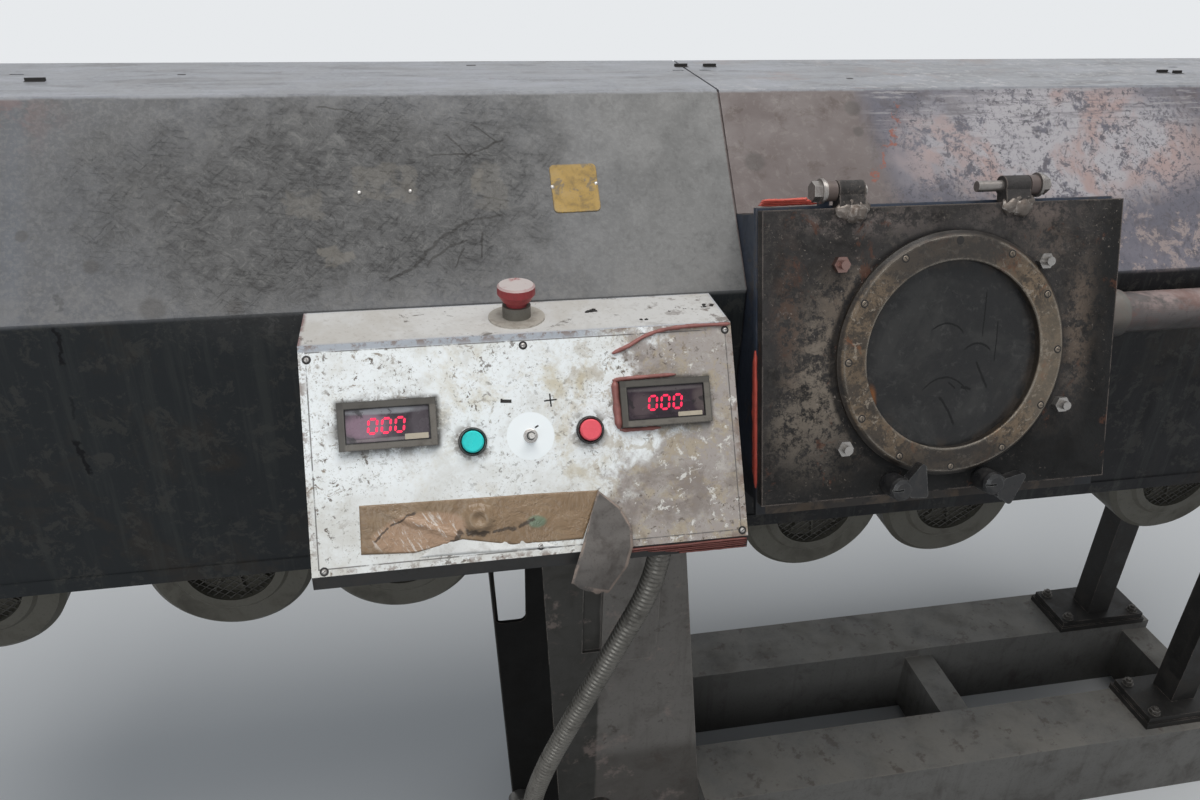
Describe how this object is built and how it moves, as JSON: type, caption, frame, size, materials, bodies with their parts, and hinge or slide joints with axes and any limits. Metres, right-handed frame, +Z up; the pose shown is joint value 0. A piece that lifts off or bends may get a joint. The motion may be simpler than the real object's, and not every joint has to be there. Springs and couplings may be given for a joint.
{
  "type": "plastic extruder barrel unit",
  "caption": "Barrel unit of a plastic extruder: guarded barrel on a pedestal with six cooling blowers, a leaning control console and a hinged vent hatch with a round sight glass.",
  "frame": {"origin": "on the floor, under the barrel's axis and under the seam of the guard hood", "axes": "+X along the barrel to the die end, -Y to the operator's side, +Z up"},
  "size_m": [2.45, 0.7525, 1.332],
  "materials": {
    "base_grey": "worn paint",
    "pedestal_grey": "worn paint",
    "column_black": "worn paint",
    "barrel_steel": "satin",
    "bright_steel": "polished",
    "jacket_steel": "cast",
    "blower_olive": "painted cast",
    "hood_paint": "worn paint",
    "console_grey": "worn paint",
    "panel_white": "printed",
    "black_plastic": "moulded",
    "bezel_chrome": "chromed",
    "button_green": "gloss",
    "button_red": "gloss",
    "estop_grey": "moulded",
    "estop_red": "moulded",
    "conduit_grey": "galvanised",
    "hatch_blue": "worn paint",
    "hatch_dark": "scaled",
    "ring_rust": "rusted",
    "dirty_glass": "dirty",
    "fastener_steel": "worn zinc",
    "pipe_pink": "worn paint"
  },
  "bodies": {
    "machine": {"base_frame": "base_grey", "pedestal": "pedestal_grey", "cable_column": "column_black", "leg_front": "base_grey", "leg_rear": "base_grey", "mid_saddle": "base_grey", "end_saddle": "base_grey", "barrel": "barrel_steel", "screw": "bright_steel", "feed_flange": "barrel_steel", "die_flange": "barrel_steel", "jacket_1": "jacket_steel", "jacket_2": "jacket_steel", "jacket_3": "jacket_steel", "jacket_4": "jacket_steel", "jacket_5": "jacket_steel", "jacket_6": "jacket_steel", "blower_1": "blower_olive", "blower_2": "blower_olive", "blower_3": "blower_olive", "blower_4": "blower_olive", "blower_5": "blower_olive", "blower_6": "blower_olive", "guard_left": "hood_paint", "guard_right": "hood_paint", "guard_end_left": "hood_paint", "guard_end_right": "hood_paint", "guard_rib": "hood_paint", "console_case": "console_grey", "console_plate": "panel_white", "panel_meters": "black_plastic", "button_bezels": "bezel_chrome", "estop_collar": "estop_grey", "conduit": "conduit_grey", "conduit_glands": "bezel_chrome", "vent_box": "hatch_blue", "vent_throat": "barrel_steel", "hinge_pins": "fastener_steel", "vacuum_pipe": "pipe_pink"},
    "hatch": {"hatch_door": "hatch_dark", "sight_ring": "ring_rust", "sight_glass": "dirty_glass", "hatch_studs": "fastener_steel"},
    "left_wing_knob": {"left_knob": "black_plastic"},
    "right_wing_knob": {"right_knob": "black_plastic"},
    "start_button": {"green_button": "button_green"},
    "stop_button": {"red_button": "button_red"},
    "speed_control": {"speed_shaft": "bright_steel"},
    "emergency_stop": {"estop_head": "estop_red"}
  },
  "joints": [
    {"name": "hatch_hinge", "type": "hinge", "parent": "machine", "child": "hatch", "pos_m": [0.212, -0.30589, 1.26405], "axis": [-1, 0, 0], "range_deg": [0, 110]},
    {"name": "left_knob_turn", "type": "hinge", "parent": "hatch", "child": "left_wing_knob", "pos_m": [0.145, -0.41188, 0.95251], "axis": [0, -0.9533, 0.3019], "range_deg": [-90, 0]},
    {"name": "right_knob_turn", "type": "hinge", "parent": "hatch", "child": "right_wing_knob", "pos_m": [0.259, -0.41279, 0.94965], "axis": [0, -0.9533, 0.3019], "range_deg": [-90, 0]},
    {"name": "start_push", "type": "slide", "parent": "machine", "child": "start_button", "axis": [0, 0.8504, -0.5262], "range_m": [0, 0.003], "stiffness_N_per_m": 800},
    {"name": "stop_push", "type": "slide", "parent": "machine", "child": "stop_button", "axis": [0, 0.8504, -0.5262], "range_m": [0, 0.003], "stiffness_N_per_m": 800},
    {"name": "speed_turn", "type": "hinge", "parent": "machine", "child": "speed_control", "pos_m": [-0.268, -0.41125, 1.05071], "axis": [0, -0.8504, 0.5262], "range_deg": [-150, 150]},
    {"name": "emergency_push", "type": "slide", "parent": "machine", "child": "emergency_stop", "axis": [0, 0, -1], "range_m": [0, 0.004]}
  ]
}
